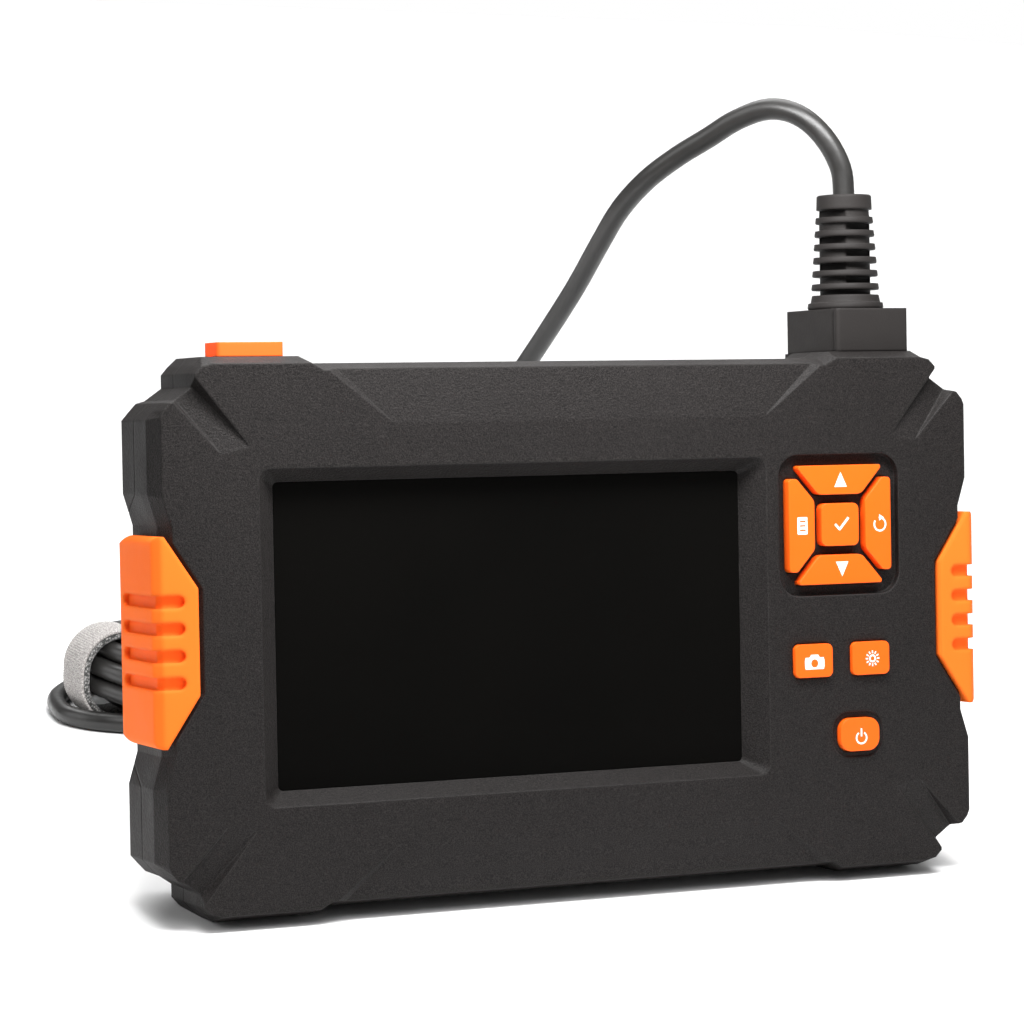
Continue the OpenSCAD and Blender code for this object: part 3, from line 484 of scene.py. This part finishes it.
def coil_points():
    """Points round the coil from above: each turn keeps its place and then shifts to the next."""
    turns = len(TURN_PLACES) - 1 + (COIL_END - COIL_START) / 360
    count = int(turns * POINTS_PER_TURN)
    points = []
    for i in range(1, count + 1):
        gone = i / count * turns
        k = min(int(gone), len(TURN_PLACES) - 1)
        share = smooth_step(max(0.0, (gone - k - (1 - SHIFT_SHARE)) / SHIFT_SHARE))
        here = TURN_PLACES[k]
        after = TURN_PLACES[min(k + 1, len(TURN_PLACES) - 1)]
        across = here[0] + (after[0] - here[0]) * share
        low, high = LAYER_HEIGHTS[here[1]], LAYER_HEIGHTS[after[1]]
        layer = low + (high - low) * share
        angle = COIL_START + gone * 360
        away = (angle - STRAP_ANGLE + 180) % 360 - 180
        lift = STRAP_LIFT * math.exp(-((away / LIFT_REACH) ** 2))
        wobble = WOBBLE * math.sin(math.radians(angle * WOBBLE_WAVES) + k)
        radius = COIL_R + across * TURN_PITCH + wobble
        turn = math.radians(angle)
        points.append(
            (
                COIL_CENTRE[0] + radius * math.cos(turn),
                COIL_CENTRE[1] + radius * math.sin(turn),
                CABLE_D / 2 + FLOOR_GAP + lift + layer,
            )
        )
    return points


def cable_route():
    """The whole cable, from inside the strain relief to the camera head's sleeve."""
    inside = LEANED @ Vector((RELIEF_TOP[0], RELIEF_TOP[1], RELIEF_TOP[2] - START_DEPTH))
    leaves = LEANED @ Vector(RELIEF_TOP)
    rest = [Vector(p) * MM for p in ROUTE + coil_points() + TAIL]
    return [inside, leaves, *rest]


def make_cable(materials):
    """One round curve through the route, in place of the three plain pieces of cable."""
    route = cable_route()
    data = bpy.data.curves.new("probe_cable", "CURVE")
    data.dimensions = "3D"
    data.bevel_depth = CABLE_D / 2 * MM
    data.bevel_resolution = 6
    data.resolution_u = 5
    data.use_fill_caps = True
    spline = data.splines.new("BEZIER")
    spline.bezier_points.add(len(route) - 1)
    last = len(route) - 1
    for i, (knot, p) in enumerate(zip(spline.bezier_points, route, strict=True)):
        before, after = route[max(i - 1, 0)], route[min(i + 1, last)]
        along = (after - before).normalized()
        knot.handle_left_type = knot.handle_right_type = "FREE"
        knot.co = p
        knot.handle_left = p - along * (p - before).length / 3
        knot.handle_right = p + along * (after - p).length / 3
    data.materials.append(materials["cable_black"])
    cable = bpy.data.objects.new("probe_cable", data)
    bpy.context.scene.collection.objects.link(cable)
    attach(cable, "probe")
    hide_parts("cable", "cable_coil", "cable_tail")
    return cable


# ---- strap ----
STRAP_WIDTH = 11.0
STRAP_OUTER = (20.0, 22.4)
STRAP_ROUND = 9.9
STRAP_WEB = 0.75
STRAP_PILE = 1.35
STRAP_GAP = 0.15
# The ribs across the web: from one to the next, their height, and the points that draw each one
STRAP_PITCH = 0.6
STRAP_RIB = 0.22
RIB_POINTS = 4
# The pile is a little narrower than the web and almost flat
PILE_WIDTH = STRAP_WIDTH - 0.5
PILE_RIB = 0.05
BAND_CHAMFER = 0.22


def rounded_loop(width, height, radius, spacing):
    """Points and outward directions along a rounded rectangle, evenly spaced."""
    straight = [width - 2 * radius, height - 2 * radius]
    corner = math.pi / 2 * radius
    parts = [straight[1], corner, straight[0], corner] * 2
    total = sum(parts)
    count = int(round(total / spacing))
    found = []
    for i in range(count):
        s = i * total / count
        k = 0
        while s > parts[k]:
            s -= parts[k]
            k += 1
        side = k // 2
        turn = side * math.pi / 2
        if k % 2 == 0:
            along = s - parts[k] / 2
            reach = (width if side % 2 == 0 else height) / 2
            local, out = Vector((reach, along)), Vector((1, 0))
        else:
            swing = s / radius
            half = Vector((width, height) if side % 2 == 0 else (height, width)) / 2
            centre = half - Vector((radius, radius))
            out = Vector((math.cos(swing), math.sin(swing)))
            local = centre + out * radius
        rot = Matrix.Rotation(turn, 2)
        found.append((rot @ local, rot @ out))
    return found


def band(name, inset, thickness, width, rib, material):
    """A closed band around the coil's bundle. rib is the height of its cross ribs."""
    size = (STRAP_OUTER[0] - 2 * inset, STRAP_OUTER[1] - 2 * inset)
    loop = rounded_loop(size[0], size[1], STRAP_ROUND - inset, STRAP_PITCH / RIB_POINTS)
    angle = math.radians(STRAP_ANGLE)
    across = Vector((math.cos(angle), math.sin(angle), 0))
    along = Vector((-math.sin(angle), math.cos(angle), 0))
    centre = Vector((*COIL_CENTRE, 0)) + across * COIL_R + Vector((0, 0, STRAP_OUTER[1] / 2))
    half = width / 2
    section = [
        (-half, -thickness), (-half, -BAND_CHAMFER), (-half + BAND_CHAMFER, 0), (-width / 6, 0),
        (width / 6, 0), (half - BAND_CHAMFER, 0), (half, -BAND_CHAMFER), (half, -thickness),
    ]
    points, faces = [], []
    for i, (p, out) in enumerate(loop):
        ridge = -rib * (0.5 - 0.5 * math.cos(i * 2 * math.pi / RIB_POINTS))
        for side, depth in section:
            lower = ridge if depth > -BAND_CHAMFER else 0
            q = p + out * (depth + lower)
            points.append((centre + across * q.x + Vector((0, 0, q.y)) + along * side) * MM)
    n, m = len(section), len(loop)
    for i in range(m):
        for k in range(n):
            a, b = i * n + k, i * n + (k + 1) % n
            c, d = (i + 1) % m * n + k, (i + 1) % m * n + (k + 1) % n
            faces.append((a, c, d, b))
    return new_piece(name, points, faces, material, "probe", True)


def make_strap(materials):
    """A ribbed web outside and a thicker layer of pile inside it, with a thin dark gap between."""
    outer = band("strap_outer_layer", 0, STRAP_WEB, STRAP_WIDTH, STRAP_RIB, materials["strap_grey"])
    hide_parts("tie_strap")
    inset = STRAP_WEB + STRAP_GAP
    inner = band("strap_inner_layer", inset, STRAP_PILE, PILE_WIDTH, PILE_RIB, materials["strap_pile"])
    inner.parent = outer
    inner.matrix_parent_inverse = outer.matrix_world.inverted()
    return outer


# ---- legends ----
# A sign is a list of flat shapes, in millimetres from the legend's middle
LEGEND_LIFT = 0.03
LEGEND_DEPTH = 0.1


def arc(centre, radius, start, end, steps):
    """Points from the start angle to the end angle, in degrees."""
    found = []
    for i in range(steps + 1):
        t = math.radians(start + (end - start) * i / steps)
        found.append((centre[0] + radius * math.cos(t), centre[1] + radius * math.sin(t)))
    return found


def ring(centre, outer, inner, start, end, steps=28):
    """A ring, or an open piece of one, as quads between two arcs."""
    a, b = arc(centre, outer, start, end, steps), arc(centre, inner, start, end, steps)
    return [(a[i], a[i + 1], b[i + 1], b[i]) for i in range(steps)]


def stroke(a, b, width):
    """A straight bar from a to b."""
    a, b = Vector(a), Vector(b)
    side = (b - a).normalized().orthogonal() * width / 2
    return tuple(tuple(p) for p in (a - side, b - side, b + side, a + side))


def plain_box(x0, z0, x1, z1):
    return ((x0, z0), (x1, z0), (x1, z1), (x0, z1))


def rounded_box(x0, y0, x1, y1, r):
    return tuple(
        arc((x1 - r, y1 - r), r, 0, 90, 4) + arc((x0 + r, y1 - r), r, 90, 180, 4)
        + arc((x0 + r, y0 + r), r, 180, 270, 4) + arc((x1 - r, y0 + r), r, 270, 360, 4)
    )


def triangle_sign(up):
    tip, foot = (1.55, -1.45) if up else (-1.55, 1.45)
    return [((-1.45, foot), (1.45, foot), (0, tip))]


def page_sign():
    """A page with three lines left open."""
    bars = [rounded_box(-1.15, 1.05, 1.15, 1.75, 0.2), rounded_box(-1.15, -1.75, 1.15, -1.05, 0.2)]
    bars += [plain_box(-1.15, -1.1, -0.6, 1.1), plain_box(0.72, -1.1, 1.15, 1.1)]
    bars += [plain_box(-0.62, z - 0.28, 0.74, z + 0.28) for z in (-0.44, 0.44)]
    return bars


def turning_sign():
    """An open ring with an arrowhead."""
    head = ((-0.15, 0.72), (-0.15, 2.05), (0.95, 1.36))
    return ring((0, 0), 1.5, 1.14, 100, -215) + [head]


def tick_sign():
    return [stroke((-1.5, 0.05), (-0.4, -1.1), 0.5), stroke((-0.55, -1.12), (1.6, 1.3), 0.5)]


def camera_sign():
    """A camera: its body around an open lens, with a hump on top."""
    lens_r = 0.82
    half_width = 2.25
    half_height = 1.2
    drop = 0.12
    steps = 24
    body = []
    for i in range(steps):
        t0, t1 = 2 * math.pi * i / steps, 2 * math.pi * (i + 1) / steps
        inner = [(lens_r * math.cos(t), lens_r * math.sin(t) - drop) for t in (t0, t1)]
        outer = []
        for t in (t0, t1):
            c, d = math.cos(t), math.sin(t)
            reach = min(half_width / max(abs(c), 1e-6), half_height / max(abs(d), 1e-6))
            outer.append((reach * c, reach * d - drop))
        body.append((inner[0], outer[0], outer[1], inner[1]))
    return body + [((-1.2, 1.05), (1.2, 1.05), (0.8, 1.65), (-0.8, 1.65))]


def sun_sign():
    """A ring with short rays round it."""
    ray_count = 12
    rays = []
    for i in range(ray_count):
        t = math.radians(i * 360 / ray_count + 90)
        c, d = math.cos(t), math.sin(t)
        rays.append(stroke((c * 1.05, d * 1.05), (c * 1.6, d * 1.6), 0.3))
    return ring((0, 0), 0.82, 0.45, 0, 360) + rays


def power_sign():
    """An open ring with a bar in its gap."""
    return ring((0, -0.15), 1.35, 1.0, 122, 418) + [stroke((0, 0.1), (0, 1.75), 0.36)]


# Each legend: (its shape, how far it lies from the middle of its key's face)
LEGENDS = {
    "up": (triangle_sign(True), (0.2, 0.0)),
    "down": (triangle_sign(False), (0.3, 0.1)),
    "menu": (page_sign(), (0.1, -0.05)),
    "rotate": (turning_sign(), (0.4, -0.2)),
    "ok": (tick_sign(), (0.3, 0.05)),
    "photo": (camera_sign(), (0.1, -0.4)),
    "light": (sun_sign(), (0.35, -0.1)),
    "power": (power_sign(), (0.3, -0.55)),
}


FLAT_WITHIN = 0.01


def key_face(key):
    """The middle of a key's front face, in the casing's millimetres."""
    back = LEANED.inverted()
    points = [back @ v.co for v in frame["nodes"]["key_" + key].data.vertices]
    front = min(p.y for p in points)
    face = [p for p in points if p.y < front + FLAT_WITHIN]
    x = (min(p.x for p in face) + max(p.x for p in face)) / 2
    z = (min(p.z for p in face) + max(p.z for p in face)) / 2
    return Vector((x, front, z))


def make_legend(key, shapes, shift, material):
    """A thin inlay that stands a hair proud of the key's face."""
    middle = key_face(key)
    points, faces = [], []
    x0, z0 = middle.x + shift[0], middle.z + shift[1]
    for shape in shapes:
        first = len(points)
        n = len(shape)
        for depth in (middle.y - LEGEND_LIFT, middle.y + LEGEND_DEPTH):
            points += [LEANED @ Vector((x0 + x, depth, z0 + z)) for x, z in shape]
        faces.append(tuple(range(first, first + n)))
        faces.append(tuple(range(first + 2 * n - 1, first + n - 1, -1)))
        for i in range(n):
            j = (i + 1) % n
            faces.append((first + i, first + n + i, first + n + j, first + j))
    piece = new_piece("legend_" + key, points, faces, material, key + "_key")
    mesh = bmesh.new()
    mesh.from_mesh(piece.data)
    bmesh.ops.recalc_face_normals(mesh, faces=mesh.faces)
    mesh.to_mesh(piece.data)
    mesh.free()


def make_legends(material):
    for key, (shapes, shift) in LEGENDS.items():
        make_legend(key, shapes, shift, material)


# ---- surroundings ----
# A sheet of pale paper. Its left edge is cut slanting beside the casing, because white paper
# there would be mirrored by the casing's left side, which is dark in the photograph.
PAPER = [(-0.16, -0.9), (4.0, -0.9), (4.0, 7.0), (-5.65, 7.0), (-0.16, 0.0)]


def make_floor():
    data = bpy.data.meshes.new("floor")
    data.from_pydata([(x, y, 0) for x, y in PAPER], [], [tuple(range(len(PAPER)))])
    material, tree, shader = new_material("floor_paper")
    tint = ramp(tree, noise(tree, 3, 2), [(0.3, (0.88, 0.88, 0.88)), (0.7, (0.9, 0.9, 0.9))])
    tree.links.new(tint, shader.inputs["Base Color"])
    shader.inputs["Roughness"].default_value = 0.95
    shader.inputs["Specular IOR Level"].default_value = 0.05
    data.materials.append(material)
    floor = bpy.data.objects.new("floor", data)
    bpy.context.scene.collection.objects.link(floor)


def far_light(name, toward, strength, spread_deg):
    """A wide light from far away, so the whole floor is lit alike. toward points at the light."""
    data = bpy.data.lights.new(name, "SUN")
    data.energy = strength
    data.angle = math.radians(spread_deg)
    light = bpy.data.objects.new(name, data)
    bpy.context.scene.collection.objects.link(light)
    light.rotation_euler = Vector(toward).to_track_quat("Z", "Y").to_euler()


def near_light(name, place, target, size, watts):
    """A soft box close to the object, unseen by the camera itself."""
    data = bpy.data.lights.new(name, "AREA")
    data.energy = watts
    data.shape = "RECTANGLE"
    data.size, data.size_y = size
    light = bpy.data.objects.new(name, data)
    bpy.context.scene.collection.objects.link(light)
    light.location = place
    light.rotation_euler = (Vector(place) - Vector(target)).to_track_quat("Z", "Y").to_euler()
    light.visible_camera = False


SOFT_BOX_PLACE = (-0.02, -0.065, 0.23)
SOFT_BOX_TARGET = (-0.01, 0, 0.1)
SOFT_BOX_SIZE = (0.24, 0.06)
SURROUND_LIGHT = 0.15
SURROUND_SEEN = 1.0


def make_light():
    """A key light from above, a soft box close to the top, and weaker lights from behind and beside."""
    far_light("key_light", toward=(-0.14, -0.62, 0.95), strength=0.93, spread_deg=32)
    near_light("soft_box", SOFT_BOX_PLACE, SOFT_BOX_TARGET, SOFT_BOX_SIZE, watts=1.1)
    far_light("back_light", toward=(0.2, 0.6, 1.0), strength=2.9, spread_deg=60)
    far_light("side_light", toward=(-1.0, 0.25, 0.5), strength=0.8, spread_deg=40)
    far_light("fill_light", toward=(0.9, -0.75, 0.9), strength=0.3, spread_deg=40)
    make_surround()


def make_surround():
    """A white surround. It gives the pieces less light than the camera sees in it."""
    world = bpy.data.worlds.new("studio")
    bpy.context.scene.world = world
    world.use_nodes = True
    tree = world.node_tree
    background = tree.nodes["Background"]
    background.inputs["Color"].default_value = (1, 1, 1, 1)
    seen = tree.nodes.new("ShaderNodeLightPath")
    level = tree.nodes.new("ShaderNodeMapRange")
    level.inputs["To Min"].default_value = SURROUND_LIGHT
    level.inputs["To Max"].default_value = SURROUND_SEEN
    tree.links.new(seen.outputs["Is Camera Ray"], level.inputs["Value"])
    tree.links.new(level.outputs["Result"], background.inputs["Strength"])
    bpy.context.scene.view_settings.view_transform = "Standard"


make_camera()
MATERIALS = make_materials()
cable_piece = make_cable(MATERIALS)
strap_piece = make_strap(MATERIALS)
dress_nodes(MATERIALS)
for node_name, width_mm in EDGE_WIDTHS.items():
    soften_edges(node_name, width_mm)
make_legends(MATERIALS["legend_white"])
make_floor()
make_light()
